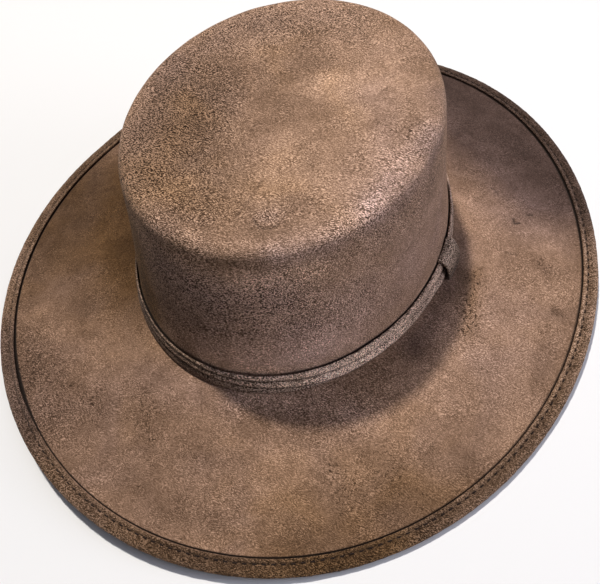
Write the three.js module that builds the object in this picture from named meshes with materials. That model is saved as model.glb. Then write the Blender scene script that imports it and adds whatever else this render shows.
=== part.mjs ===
// A flat-topped suede hat with a wide brim, lying on a table.
// Millimetres. +Z is up, -Y is the front, +X is the wearer's left, where the band is joined.
// The origin is on the table, below the middle of the brim.
// Angles go round the hat from +X towards +Y.
import * as THREE from "three";
import { ParametricGeometry } from "three/addons/geometries/ParametricGeometry.js";

// Driving dimensions
const HAT_LENGTH = 374.4; // front to back, over the bound edge of the brim
const HAT_WIDTH = 337.4; // side to side, over the bound edge of the brim
const HEAD_LINE_LENGTH = 210.8; // outside of the crown where it meets the brim
const HEAD_LINE_WIDTH = 173.2;
const HEAD_LINE_HEIGHT = 21.7; // top of the brim at the crown, above the table
const CROWN_HEIGHT = 86.6; // head line to flat top
const CROWN_TOP_LENGTH = 180.8; // outside of the crown where its top edge begins to round
const CROWN_TOP_WIDTH = 152.4;
const CROWN_EDGE_RADIUS = 9.5;
const CROWN_DISH = 1.5; // the flat top sinks by this much at its middle
const CROWN_WAIST = 0.9; // the wall is drawn in by this much halfway up
const CROWN_WALL = 2.0;
const BRIM_THICKNESS = 2.0;
const COLLAR_HEIGHT = 8.0; // inner margin of the brim, turned up inside the crown
const COLLAR_ROUNDING = 0.5; // of the corner where that margin turns up
const BINDING_THICKNESS = 1.0;
const BINDING_WIDTH = 8.0; // how far the binding reaches in from the edge, above and below
const BAND_HEIGHT = 10.4;
const BAND_THICKNESS = 1.2; // of the strip itself, without its pleats
const GAP = 0.3; // between one piece and the next
const BAND_CLEARANCE = 0.4; // the band stands this far off the crown's wall
const AROUND = 64; // steps round the hat

// How the brim's edge stands, as heights added round the hat
const BRIM_DROP = 15.4; // the edge hangs this far below the head line on average
const BRIM_TWIST = 5.3; // raised at the left back and right front, lowered at the other two corners
const BRIM_FRONT_RISE = 1.8; // raised at the front, lowered at the back
const BRIM_END_RISE = 0.4; // raised at both sides, lowered at front and back

// Middle of the crown, off the middle of the brim
const CROWN_SHIFT = { x: -0.4, y: 1.8 };
const CROWN_TOP_SHIFT = { x: 1.35, y: 2.53 };

// The edge can't sink below the table: the lowest two arcs lie flat on it
const EDGE_REST_HEIGHT = BRIM_THICKNESS + GAP + BINDING_THICKNESS;
const BRIM_LIP = BINDING_WIDTH + 0.8; // the level margin that the binding covers

// From the head line out to the lip: the share of the way out, and the share of the drop reached there
const BRIM_ROWS = [
  { out: 0, drop: 0 },
  { out: 0.25, drop: 0.26 },
  { out: 0.5, drop: 0.53 },
  { out: 0.78, drop: 0.83 },
  { out: 0.93, drop: 0.975 },
  { out: 1, drop: 1 },
];

// Crown wall, from the head line up to where the top edge begins to round
const CROWN_LEVELS = [
  { up: 0, waist: 0 },
  { up: 0.17, waist: 0.55 },
  { up: 0.36, waist: 1 },
  { up: 0.66, waist: 0.75 },
  { up: 0.86, waist: 0.3 },
  { up: 1, waist: 0 },
];
const CROWN_EDGE_TURNS = [18, 36, 54, 72, 90]; // degrees of the rounded top edge
const CROWN_TOP_RINGS = [0.84, 0.64, 0.42, 0.2, 0]; // shares of the flat top, out to in

// Section of the pleated band, from its foot out and up to its top edge and back to the crown:
// shares of the strip's thickness, how far a full pleat stands out past that, and the height above the brim.
const BAND_SECTION = [
  { thickness: 0, pleat: 0, up: GAP },
  { thickness: 1, pleat: 2.0, up: GAP }, // lowest pleat
  { thickness: 1, pleat: 2.5, up: 2.0 },
  { thickness: 1, pleat: 1.3, up: 4.0 },
  { thickness: 1, pleat: 1.8, up: 5.6 }, // middle pleat
  { thickness: 1, pleat: 0.7, up: 7.2 },
  { thickness: 1, pleat: 1.0, up: 8.8 }, // top pleat
  { thickness: 1, pleat: 0, up: BAND_HEIGHT },
  { thickness: 0, pleat: 0, up: BAND_HEIGHT },
];
// How full the pleats are round the hat, in degrees: pulled flat on the wearer's right side, loose at the front,
// and fullest where the front end of the band goes under the keeper
const BAND_STATIONS = [
  { angle: 0, fullness: 0.45 },
  { angle: 60, fullness: 0.45 },
  { angle: 150, fullness: 0.45 },
  { angle: 195, fullness: 0.2 },
  { angle: 235, fullness: 0.7 },
  { angle: 275, fullness: 1 },
  { angle: 330, fullness: 0.9 },
  { angle: 349, fullness: 1.25 },
  { angle: 354, fullness: 1.1 },
  { angle: 360, fullness: 0.45 },
];

// Binding section: how far in from the outline of the brim, how far up from the brim's top face
const BINDING_TOP = GAP + BINDING_THICKNESS;
const BINDING_FOOT = -BRIM_THICKNESS - GAP - BINDING_THICKNESS;
const BINDING_SECTION = [
  { into: BINDING_WIDTH, up: -BRIM_THICKNESS - GAP },
  { into: BINDING_WIDTH, up: BINDING_FOOT + 0.4 },
  { into: BINDING_WIDTH - 1, up: BINDING_FOOT },
  { into: 2.0, up: BINDING_FOOT },
  { into: 0.6, up: BINDING_FOOT + 0.6 },
  { into: 0, up: -BRIM_THICKNESS / 2 },
  { into: 0.6, up: BINDING_TOP - 0.6 },
  { into: 2.0, up: BINDING_TOP },
  { into: BINDING_WIDTH - 0.6, up: BINDING_TOP },
  { into: BINDING_WIDTH, up: BINDING_TOP - 0.3 },
  { into: BINDING_WIDTH, up: GAP },
  { into: BINDING_THICKNESS, up: GAP },
  { into: BINDING_THICKNESS, up: -BRIM_THICKNESS - GAP },
];

// Keeper: stations along the band, in degrees round the hat, and how far out its outer face reaches there
const KEEPER_STATIONS = [
  { angle: -7.8, reach: 7.1 }, // open mouth, where the front of the band goes in
  { angle: -5, reach: 7.8 },
  { angle: -2.3, reach: 8.3 },
  { angle: 0, reach: 8.6 },
  { angle: 1.7, reach: 8.1 },
  { angle: 3.1, reach: 6.6 },
  { angle: 4.4, reach: 4.9 },
];
const KEEPER_THICKNESS = 1.2;
// Inner face of the keeper, from its edge by the crown over the band and down to the brim, as shares of
// its reach and heights above the brim. The sheet's thickness goes on along the slope that lift gives.
const KEEPER_ROWS = [
  { share: 0.1, up: BAND_HEIGHT + 0.4, lift: 1 },
  { share: 0.5, up: BAND_HEIGHT + 0.4, lift: 0.9 },
  { share: 0.85, up: 9.2, lift: 0.5 },
  { share: 1, up: 5.6, lift: 0.1 },
  { share: 1, up: 2.6, lift: 0 },
  { share: 0.96, up: GAP, lift: 0 },
];

// Suede colours: the crown and brim are one hide, the trims are cut from a slightly darker one
const SUEDE = { color: 0x8f7561, roughness: 0.95, metalness: 0 };
const TRIM_SUEDE = { color: 0x7a6353, roughness: 0.95, metalness: 0 };

const HEAD_LINE_OVAL = {
  halfLength: HEAD_LINE_LENGTH / 2,
  halfWidth: HEAD_LINE_WIDTH / 2,
  ...CROWN_SHIFT,
};
const OUTLINE_OVAL = {
  halfLength: HAT_LENGTH / 2,
  halfWidth: HAT_WIDTH / 2,
  x: 0,
  y: 0,
};

// A point of an oval, moved outwards by offset along the oval's own normal.
function ovalPoint(oval, angle, offset) {
  const across = Math.cos(angle);
  const along = Math.sin(angle);
  const normal = new THREE.Vector2(
    across / oval.halfWidth,
    along / oval.halfLength,
  ).normalize();
  return new THREE.Vector2(
    oval.x + oval.halfWidth * across + offset * normal.x,
    oval.y + oval.halfLength * along + offset * normal.y,
  );
}

// The crown's outside oval at a height above the head line.
function crownOval(up) {
  const wallHeight = CROWN_HEIGHT - CROWN_EDGE_RADIUS;
  const share = Math.min(Math.max(up / wallHeight, 0), 1);
  const above = CROWN_LEVELS.findIndex((level) => level.up >= share);
  const top = CROWN_LEVELS[Math.max(above, 1)];
  const bottom = CROWN_LEVELS[Math.max(above, 1) - 1];
  const part = (share - bottom.up) / (top.up - bottom.up);
  const waist = CROWN_WAIST * THREE.MathUtils.lerp(bottom.waist, top.waist, part);
  return {
    halfLength: THREE.MathUtils.lerp(HEAD_LINE_LENGTH, CROWN_TOP_LENGTH, share) / 2 - waist,
    halfWidth: THREE.MathUtils.lerp(HEAD_LINE_WIDTH, CROWN_TOP_WIDTH, share) / 2 - waist,
    x: THREE.MathUtils.lerp(CROWN_SHIFT.x, CROWN_TOP_SHIFT.x, share),
    y: THREE.MathUtils.lerp(CROWN_SHIFT.y, CROWN_TOP_SHIFT.y, share),
  };
}

// Height of the brim's top face at its outline.
function edgeHeight(angle) {
  const free =
    HEAD_LINE_HEIGHT -
    BRIM_DROP +
    BRIM_TWIST * Math.sin(2 * angle) -
    BRIM_FRONT_RISE * Math.sin(angle) +
    BRIM_END_RISE * Math.cos(2 * angle);
  return Math.max(free, EDGE_REST_HEIGHT);
}

// A point of the brim's top face, moved up by lift: out is 0 at the head line and 1 at the lip.
function brimPoint(out, angle, lift) {
  const inner = ovalPoint(HEAD_LINE_OVAL, angle, 0);
  const lip = ovalPoint(OUTLINE_OVAL, angle, -BRIM_LIP);
  const above = Math.max(
    BRIM_ROWS.findIndex((row) => row.out >= out),
    1,
  );
  const outer = BRIM_ROWS[above];
  const nearer = BRIM_ROWS[above - 1];
  const part = (out - nearer.out) / (outer.out - nearer.out);
  const drop = THREE.MathUtils.lerp(nearer.drop, outer.drop, part);
  const place = inner.lerp(lip, out);
  const height = THREE.MathUtils.lerp(HEAD_LINE_HEIGHT, edgeHeight(angle), drop);
  return new THREE.Vector3(place.x, place.y, height + lift);
}

// A closed ring: rows of points round a section, each row a function of the angle round the hat.
function ringGeometry(rows) {
  const surface = (round, section, target) => {
    const row = rows[Math.round(section * rows.length) % rows.length];
    const step = Math.round(round * AROUND) % AROUND;
    target.copy(row((step / AROUND) * 2 * Math.PI));
  };
  return new ParametricGeometry(surface, AROUND, rows.length);
}

// A dome that opens downwards: its rows go from the middle of the inside, out over the rim, to the middle of the top.
function domeGeometry(rows) {
  const surface = (round, section, target) => {
    const row = rows[Math.round(section * (rows.length - 1))];
    const step = Math.round(round * AROUND) % AROUND;
    target.copy(row((step / AROUND) * 2 * Math.PI));
  };
  return new ParametricGeometry(surface, AROUND, rows.length - 1);
}

function suedeMesh(name, geometry, finish) {
  const mesh = new THREE.Mesh(geometry, new THREE.MeshStandardMaterial(finish));
  mesh.name = name;
  return mesh;
}

// One face of the crown: inset is 0 for the outside and the wall's thickness for the inside.
function crownFace(inset) {
  const wallHeight = CROWN_HEIGHT - CROWN_EDGE_RADIUS;
  const topOval = crownOval(wallHeight);
  const rows = CROWN_LEVELS.map((level) => (angle) => {
    const up = Math.max(level.up * wallHeight, GAP);
    const place = ovalPoint(crownOval(up), angle, -inset);
    return new THREE.Vector3(place.x, place.y, HEAD_LINE_HEIGHT + up);
  });
  const radius = CROWN_EDGE_RADIUS - inset;
  for (const degrees of CROWN_EDGE_TURNS) {
    const turn = THREE.MathUtils.degToRad(degrees);
    rows.push((angle) => {
      const place = ovalPoint(topOval, angle, radius * Math.cos(turn) - CROWN_EDGE_RADIUS);
      const height = HEAD_LINE_HEIGHT + wallHeight + radius * Math.sin(turn);
      return new THREE.Vector3(place.x, place.y, height);
    });
  }
  for (const share of CROWN_TOP_RINGS) {
    rows.push((angle) => {
      const rim = ovalPoint(topOval, angle, -CROWN_EDGE_RADIUS);
      const middle = new THREE.Vector2(topOval.x, topOval.y);
      const place = middle.lerp(rim, share);
      const dish = CROWN_DISH * (1 - share * share);
      const height = HEAD_LINE_HEIGHT + CROWN_HEIGHT - inset - dish;
      return new THREE.Vector3(place.x, place.y, height);
    });
  }
  return rows;
}

// The crown is one hollow shell, open at the bottom, and stands on the brim's inner margin.
function makeCrown() {
  const rows = [...crownFace(CROWN_WALL).reverse(), ...crownFace(0)];
  return suedeMesh("crown", domeGeometry(rows), SUEDE);
}

// The brim is one sheet: its inner margin turns up as a collar inside the crown's wall.
function makeBrim() {
  const collarFace = (up, thickness) => (angle) => {
    const place = ovalPoint(crownOval(up), angle, -CROWN_WALL - GAP - thickness);
    return new THREE.Vector3(place.x, place.y, HEAD_LINE_HEIGHT + up);
  };
  const edge = (lift) => (angle) => {
    const place = ovalPoint(OUTLINE_OVAL, angle, -BINDING_THICKNESS - GAP);
    return new THREE.Vector3(place.x, place.y, edgeHeight(angle) + lift);
  };
  const sheetRow = (out, lift) => (angle) => brimPoint(out, angle, lift);
  const rows = [
    collarFace(COLLAR_HEIGHT, BRIM_THICKNESS),
    collarFace(COLLAR_ROUNDING, BRIM_THICKNESS),
    collarFace(COLLAR_ROUNDING - BRIM_THICKNESS, BRIM_THICKNESS / 2),
    ...BRIM_ROWS.map((row) => sheetRow(row.out, -BRIM_THICKNESS)),
    edge(-BRIM_THICKNESS),
    edge(0),
    ...BRIM_ROWS.map((row) => sheetRow(row.out, 0)).reverse(),
    collarFace(0, 0),
    collarFace(COLLAR_HEIGHT, 0),
  ];
  return suedeMesh("brim", ringGeometry(rows), SUEDE);
}

// The binding is a strip folded round the brim's edge, with its lower face level.
function makeBinding() {
  const rows = BINDING_SECTION.map((point) => (angle) => {
    const place = ovalPoint(OUTLINE_OVAL, angle, -point.into);
    return new THREE.Vector3(place.x, place.y, edgeHeight(angle) + point.up);
  });
  return suedeMesh("brim_binding", ringGeometry(rows), TRIM_SUEDE);
}

// A point by the crown's foot, measured out from the crown's wall and up from the brim.
// The brim falls away outwards, and what lies low on it follows that fall.
function footPoint(out, up, angle) {
  const place = ovalPoint(crownOval(up), angle, out);
  const brimWidth = (HAT_WIDTH - HEAD_LINE_WIDTH) / 2 - BRIM_LIP;
  const fall = HEAD_LINE_HEIGHT - brimPoint(out / brimWidth, angle, 0).z;
  const follows = Math.max(1 - up / BAND_HEIGHT, 0);
  return new THREE.Vector3(place.x, place.y, HEAD_LINE_HEIGHT + up - fall * follows);
}

// How full the band's pleats are at an angle round the hat.
function bandFullness(angle) {
  const degrees = THREE.MathUtils.radToDeg(angle);
  const after = BAND_STATIONS.findIndex((station) => station.angle > degrees);
  const next = BAND_STATIONS[after];
  const last = BAND_STATIONS[after - 1];
  const part = THREE.MathUtils.smoothstep(degrees, last.angle, next.angle);
  return THREE.MathUtils.lerp(last.fullness, next.fullness, part);
}

// The band is a strip of suede laid in three pleats round the crown's foot.
function makeBand() {
  const rows = BAND_SECTION.map((point) => (angle) => {
    const stands = point.thickness * BAND_THICKNESS + point.pleat * bandFullness(angle);
    return footPoint(BAND_CLEARANCE + stands, point.up, angle);
  });
  return suedeMesh("hat_band", ringGeometry(rows), TRIM_SUEDE);
}

// The keeper is a tab laid over the band's join. It bulges outwards and is open towards the front.
function makeKeeper() {
  const innerPoint = (station, row) => {
    const angle = THREE.MathUtils.degToRad(station.angle);
    return footPoint(row.share * (station.reach - KEEPER_THICKNESS), row.up, angle);
  };
  const outerPoint = (station, row) => {
    const angle = THREE.MathUtils.degToRad(station.angle);
    const aside = Math.sqrt(1 - row.lift * row.lift) * KEEPER_THICKNESS;
    const out = row.share * (station.reach - KEEPER_THICKNESS) + aside;
    return footPoint(out, row.up + row.lift * KEEPER_THICKNESS, angle);
  };
  const rowCount = KEEPER_ROWS.length;
  const loop = 2 * rowCount;
  const at = (station, index) =>
    index < rowCount
      ? outerPoint(station, KEEPER_ROWS[rowCount - 1 - index])
      : innerPoint(station, KEEPER_ROWS[index - rowCount]);
  const corners = KEEPER_STATIONS.flatMap((station) =>
    Array.from({ length: loop }, (_, index) => at(station, index)),
  );
  const faces = [];
  const quad = (a, b, c, d) => faces.push(a, b, c, a, c, d);
  for (let station = 0; station < KEEPER_STATIONS.length - 1; station += 1) {
    for (let index = 0; index < loop; index += 1) {
      const next = (index + 1) % loop;
      const here = station * loop;
      quad(here + index, here + loop + index, here + loop + next, here + next);
    }
  }
  const last = (KEEPER_STATIONS.length - 1) * loop;
  for (let index = 0; index < rowCount - 1; index += 1) {
    const across = loop - 1 - index;
    quad(index, index + 1, across - 1, across);
    quad(last + index, last + across, last + across - 1, last + index + 1);
  }
  const geometry = new THREE.BufferGeometry().setFromPoints(corners);
  geometry.setIndex(faces);
  geometry.computeVertexNormals();
  return suedeMesh("band_keeper", geometry, TRIM_SUEDE);
}

const hat = new THREE.Group();
hat.add(makeCrown(), makeBrim(), makeBinding(), makeBand(), makeKeeper());

export default hat;
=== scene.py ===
import math

import bmesh
import bpy
import numpy as np
from mathutils import Matrix, Vector


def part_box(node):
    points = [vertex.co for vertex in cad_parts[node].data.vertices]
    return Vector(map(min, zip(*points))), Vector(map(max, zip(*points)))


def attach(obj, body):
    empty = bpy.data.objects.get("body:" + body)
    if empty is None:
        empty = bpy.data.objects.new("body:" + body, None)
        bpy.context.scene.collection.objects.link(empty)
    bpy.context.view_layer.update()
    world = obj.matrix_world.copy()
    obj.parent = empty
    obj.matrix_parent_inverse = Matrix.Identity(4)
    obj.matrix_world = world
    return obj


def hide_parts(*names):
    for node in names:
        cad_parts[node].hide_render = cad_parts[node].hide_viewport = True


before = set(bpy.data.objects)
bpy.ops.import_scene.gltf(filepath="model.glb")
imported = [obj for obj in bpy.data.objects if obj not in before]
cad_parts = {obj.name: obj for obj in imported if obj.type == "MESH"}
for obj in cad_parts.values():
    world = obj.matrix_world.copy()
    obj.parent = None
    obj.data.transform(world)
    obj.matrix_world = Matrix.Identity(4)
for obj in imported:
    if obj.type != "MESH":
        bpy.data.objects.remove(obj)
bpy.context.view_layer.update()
MM = 0.001

# Crown. One hide of suede bonded to stiff felt and blocked over an oval form: the wall leans in, the top
# edge is softly rounded, and the flat top has sunk a little. It is open below, and its foot is glued
# round the brim's turned-up margin.
CROWN_AROUND = 96  # faces round the crown before it is smoothed
CROWN_WALL_ROWS = 9
CROWN_BAND_ROWS = (31.4, 32.0, 32.6, 33.2, 33.8)  # millimetres above the table, by the band's top edge
CROWN_WALL = 2.0 * MM
CROWN_EDGE = 6.4 * MM  # from the corner to where the rounding of the top edge starts
CROWN_EDGE_FACES = 5
CROWN_FLAT_INSET = 17 * MM  # from the corner to where the flat top is filled in
CROWN_WAIST = 0.9 * MM  # the wall is drawn in by this much halfway up
CROWN_DISH = 1.5 * MM
CROWN_CORNER = {"x": 1.5 * MM, "y": 2.6 * MM, "half_width": 75.2 * MM, "half_length": 89.0 * MM}
CROWN_WAVES = {"size": 0.03, "depth": 0.9 * MM}
# Painted shade on the crown's foot behind the band: how dark, up to the height in millimetres, and by how
# much less in front
BAND_SHADE = {"up_to": 32.2, "fades_over": 0.6, "painted_shade": 0.95, "less_in_front": 0.5, "front_half_width": 30}


def nap_and_light_streak(*path, reach, **looks):
    """A streak of colour, for brushed nap and for painted light and shade: a line of places and how far it
    reaches from them, in millimetres, and how much paler, warmer, coarser or more ruffled it looks there."""
    return {"path": path, "reach": reach, **looks}


# Creases left in the hide by handling: lines on its surface, their width and depth in millimetres, and how
# dark the painted shade in them is
CROWN_CREASES = [
    {"path": [(14, -65.5, 108), (15.5, -68, 108), (19, -69.8, 108), (22.8, -69, 108), (24.8, -66.2, 108)],
     "width": 0.9, "depth": 0.45, "painted_shade": 0.6},
    {"path": [(8.9, -42, 107.3), (9.2, -50, 107.5), (8, -58.5, 107.7), (6.5, -66, 107.9)],
     "width": 1.3, "depth": 0.35, "painted_shade": 0.3},
    {"path": [(60, -57, 62), (69.2, -45.8, 69.2), (76.1, -26.6, 72.1), (79.6, -0.6, 74.1)],
     "width": 1.6, "depth": 0.4, "painted_shade": 0.2},
    {"path": [(-30, -93, 62), (0, -96, 60), (25, -92, 61), (48, -80, 60)],
     "width": 1.6, "depth": 0.3, "painted_shade": 0.4},
    {"path": [(-20, -93, 72), (5, -92.5, 71), (30, -87, 72)], "width": 1.4, "depth": 0.25, "painted_shade": 0.3},
    {"path": [(-8, -93, 77), (14, -90.5, 76)], "width": 1.2, "depth": 0.2, "painted_shade": 0.2},
]
# Patches of nap, and painted light and shade: painted shade on the wall, darkest at the wearer's right front,
# a painted dark line round the front of the top edge where it turns from the light, painted highlights along
# the rim in front and at the wearer's left, painted light low on the front of the wall, and a cooler colour
# painted into the shade
CROWN_NAP_AND_LIGHT = [
    nap_and_light_streak((-50, 8, 108), (-42, -20, 108), (-44, -42, 108), reach=15, tone=-0.65, warm=0.1, coarse=0.65),
    nap_and_light_streak((-60, 8, 107), (-57, -30, 107), reach=8, tone=-0.4, coarse=0.4),
    nap_and_light_streak((-40, 22, 108), (-30, 0, 108), (-24, -34, 108), reach=13, tone=-0.6, coarse=0.4),
    nap_and_light_streak((-50, -26, 108), (-32, -20, 108), reach=9, tone=-0.3, coarse=0.2),
    nap_and_light_streak((-4, -13, 108), (17, -8, 108), reach=9, tone=-0.3),
    nap_and_light_streak((-6, 6, 108), (24, 8, 108), reach=9, tone=-0.35),
    nap_and_light_streak((-20, -46, 108), (-30, -42, 108), reach=8, tone=-0.25, coarse=0.3),
    nap_and_light_streak((60, 18, 107), (68, -4, 106), reach=8, tone=-0.2),
    nap_and_light_streak((10, 64, 108), (24, 60, 108), reach=8, tone=-0.25),
    nap_and_light_streak((-30, 26, 108), (-22, 25, 108), reach=8, tone=-0.25),
    nap_and_light_streak((70, -26, 106), (76, 16, 102), reach=7, tone=-0.15),
    nap_and_light_streak((-62, 20, 108), (-56, 36, 108), (-38, 56, 108), reach=11, tone=-0.2),
    nap_and_light_streak((26, 77, 108), (36, 74, 108), reach=9, tone=-0.2),
    nap_and_light_streak((-60, -17, 108), (-62, 0, 107), reach=9, tone=-0.15),
    nap_and_light_streak((-31, 4, 107), (-27, 8, 107), reach=6, tone=-0.2),
    nap_and_light_streak((-4, -93, 72), (24, -88, 76), reach=10, tone=-0.15),
    nap_and_light_streak((-52, -76, 90), (-10, -94, 86), (30, -88, 86), reach=15, warm=-0.25),
    nap_and_light_streak((-17, -70, 108), (-15, -66, 108), reach=6, tone=-0.15),
    nap_and_light_streak((-32, -78, 101), (-27, -81, 101), reach=5, tone=-0.2),
    nap_and_light_streak((-6, -88, 97), (14, -87, 97), reach=6, tone=0.25),
    nap_and_light_streak((12, -101, 40), (50, -84, 42), reach=10, tone=0.15),
    nap_and_light_streak((-8, -50, 108), (-5, -46, 108), reach=9, tone=-0.25),
    nap_and_light_streak((-38, -70, 107), (-34, -66, 107), reach=8, tone=0.25),
    nap_and_light_streak((-44, -52, 108), (0, -60, 108), reach=16, warm=0.15),
    nap_and_light_streak((-20, -96, 60), (30, -90, 60), (66, -60, 62), (80, -20, 62), reach=26, tone=-0.1, warm=-0.25),
    nap_and_light_streak((-50, -82, 34), (-46, -82, 50), reach=11, tone=-0.55, warm=0.35),
    nap_and_light_streak((42, -27, 108), (38, -22, 108), reach=8, tone=-0.25),
    nap_and_light_streak((22, -73, 108), (38, -68, 108), reach=7, tone=-0.25),
    nap_and_light_streak((-32, 64, 108), (-8, 66, 108), reach=9, tone=-0.25, coarse=0.3),
    nap_and_light_streak((-62, 20, 107), (-60, -30, 107), (-44, -58, 107), reach=11, tone=-0.15, warm=-0.2, coarse=0.6),
    nap_and_light_streak((-32, -60, 108), (-10, -66, 108), reach=11, tone=-0.5, warm=0.1, coarse=0.4),
    nap_and_light_streak((-50, 50, 108), (-20, 68, 108), (10, 74, 108), reach=18, tone=-0.2, warm=-0.1, coarse=0.6),
    nap_and_light_streak((0, 50, 108), (-5, 30, 108), reach=12, tone=-0.25),
    nap_and_light_streak((8, 36, 108), (-2, 22, 108), reach=6, tone=-0.2, ruffled=0.3),
    nap_and_light_streak((20, 24, 108), (38, 30, 108), reach=11, tone=0.5, warm=0.03),
    nap_and_light_streak((18, 12, 108), (58, 18, 108), (40, 55, 108), (22, 62, 108), reach=18, tone=0.28),
    nap_and_light_streak((12, -18, 108), (15, -42, 108), reach=10, tone=0.35, warm=0.04),
    nap_and_light_streak((52, 0, 108), (60, 0, 108), reach=7, tone=-0.2, ruffled=0.9),
    nap_and_light_streak((30, -52, 108), (34, -50, 108), reach=7, tone=-0.25, ruffled=0.7),
    nap_and_light_streak((18, -64, 108), (21, -63, 108), reach=4.5, tone=-0.15, warm=-0.2, coarse=0.5),
    nap_and_light_streak((40, -45, 108), (56, -20, 108), reach=18, tone=0.3),
    nap_and_light_streak((70, 30, 105), (62, 52, 105), reach=8, tone=-0.35),
    nap_and_light_streak((71, 0, 106), (66, -24, 106), (58, -48, 106), reach=7, tone=0.3, warm=-0.35, coarse=0.3),
    nap_and_light_streak((60, -46, 107), (64, -38, 107), reach=5, tone=0.2),
    nap_and_light_streak((39, 22, 107), (52, 4, 107), (57, -32, 107), reach=12, warm=-0.2),
    nap_and_light_streak((70, 26, 107), (74, -10, 106), reach=7, warm=-0.3),
    nap_and_light_streak((-46, -46, 108), (-42, -42, 108), reach=9, tone=0.2),
    nap_and_light_streak((-54, 8, 108), (-42, 14, 108), reach=7, tone=0.18),
    nap_and_light_streak((58, -48, 106), (46, -66, 106), (28, -79, 106), reach=6, tone=0.4, warm=-0.2, coarse=0.2),
    nap_and_light_streak((28, -79, 107), (0, -84, 107), (-28, -79, 107), reach=5, tone=0.2, warm=-0.1, coarse=0.1),
    nap_and_light_streak((-20, 82, 107), (12, 86, 107), reach=8, tone=0.15),
    nap_and_light_streak((-68, -64, 28), (-62, -64, 86), reach=24, tone=-1.75, warm=0.4, coarse=1.1),
    nap_and_light_streak((-36, -90, 50), (-34, -86, 94), reach=16, tone=-0.8, coarse=0.6),
    nap_and_light_streak((-14, -98, 60), (-10, -94, 94), reach=14, tone=-0.5, coarse=0.4),
    nap_and_light_streak((-24, -92, 84), (5, -94, 80), (35, -88, 78), reach=13, tone=-0.25, coarse=0.9),
    nap_and_light_streak((10, -100, 60), (35, -92, 60), (60, -70, 60), reach=18, tone=0.15, warm=-0.1, coarse=0.3),
    nap_and_light_streak((-50, -66, 102), (-30, -83, 102), (0, -90, 102), (24, -86, 102), reach=4, tone=-0.65),
    nap_and_light_streak((30, -84, 102), (58, -60, 102), (72, -28, 102), (76, 5, 102), reach=4, tone=-0.3, warm=-0.1),
    nap_and_light_streak((-5, -104, 36), (30, -98, 38), (58, -76, 40), reach=13, tone=0.55, warm=-0.2),
    nap_and_light_streak((-36, -97, 33), (-10, -103.8, 33), (14, -103.4, 33), (38, -95, 33), (60, -77.5, 33),
           (76, -50.5, 33), (84, -20, 33), (85.6, 0, 33), reach=1.3, tone=0.8),
    nap_and_light_streak((-50, -78, 40), (-48, -76, 82), reach=11, tone=-0.8, warm=0.25),
    nap_and_light_streak((-24, -92, 60), (24, -92, 60), reach=11, tone=-0.2),
    nap_and_light_streak((30, -86, 70), (44, -76, 76), reach=9, tone=0.2),
    nap_and_light_streak((76, -21, 88), (78, -4, 88), reach=9, tone=-0.3),
    nap_and_light_streak((30, -95, 50), (48, -84, 52), reach=11, tone=0.25),
    nap_and_light_streak((22, -91, 92), (42, -78, 95), reach=8, tone=0.5, coarse=0.4),
    nap_and_light_streak((62, -56, 96), (74, -20, 94), (76, 10, 94), reach=9, tone=-0.3, coarse=0.4),
]
SUEDE_TAN = (0.277, 0.168, 0.107)
# The two ends first, deep in the nap and the tips of the fibres, then the places between them: each with
# its brightness and how far it fades to grey
SUEDE_DEPTHS = [
    {"position": 0, "brightness": 0.18, "fade": -0.15},
    {"position": 1, "brightness": 3.2, "fade": 0.14},
    {"position": 0.22, "brightness": 0.42, "fade": -0.1},
    {"position": 0.36, "brightness": 0.7, "fade": -0.06},
    {"position": 0.5, "brightness": 1.0, "fade": 0.0},
    {"position": 0.64, "brightness": 1.5, "fade": 0.05},
    {"position": 0.78, "brightness": 2.2, "fade": 0.1},
]


def start_ring(name, around, ring):
    """A new piece in edit mode: an open oval of edges, all selected."""
    middle = (ring["x"], ring["y"], ring["z"])
    bpy.ops.object.select_all(action="DESELECT")
    bpy.ops.mesh.primitive_circle_add(vertices=around, radius=1, location=middle)
    piece = bpy.context.active_object
    piece.name = piece.data.name = name
    bpy.ops.object.transform_apply(location=True, rotation=True, scale=True)
    bpy.ops.object.mode_set(mode="EDIT")
    bpy.ops.mesh.select_all(action="SELECT")
    bpy.ops.transform.resize(value=(ring["half_width"], ring["half_length"], 1), center_override=middle)
    return piece


def draw_out(before, after):
    """Extrudes the selected oval to its next place and size."""
    move = (after["x"] - before["x"], after["y"] - before["y"], after["z"] - before["z"])
    bpy.ops.mesh.extrude_region_move(TRANSFORM_OT_translate={"value": move})
    grow = (after["half_width"] / before["half_width"], after["half_length"] / before["half_length"], 1)
    bpy.ops.transform.resize(value=grow, center_override=(after["x"], after["y"], after["z"]))


def between(first, second, share):
    """The oval that lies a share of the way from one oval to another."""
    return {key: first[key] + (second[key] - first[key]) * share for key in first}


def drawn_in(oval, inset):
    """An oval made smaller all round by the same inset."""
    return {**oval, "half_width": oval["half_width"] - inset, "half_length": oval["half_length"] - inset}


def select_places(piece, test):
    """In edit mode, selects what lies where the test says. The test gets all places in millimetres."""
    mesh = bmesh.from_edit_mesh(piece.data)
    chosen = test(np.array([vertex.co for vertex in mesh.verts]) / MM)
    bpy.ops.mesh.select_all(action="DESELECT")
    for vertex, is_chosen in zip(mesh.verts, chosen):
        vertex.select = bool(is_chosen)
    mesh.select_flush(True)
    bmesh.update_edit_mesh(piece.data)


def face_outwards():
    """Turns all faces of the sheet outwards, and leaves edit mode."""
    bpy.ops.mesh.select_all(action="SELECT")
    bpy.ops.mesh.normals_make_consistent(inside=False)
    bpy.ops.object.mode_set(mode="OBJECT")


def smooth(piece, levels):
    """Rounds the piece off by subdivision, and shades it smooth."""
    rounding = piece.modifiers.new("rounding", "SUBSURF")
    rounding.levels = rounding.render_levels = levels
    bpy.ops.object.modifier_apply(modifier=rounding.name)
    bpy.ops.object.shade_smooth()


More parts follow.
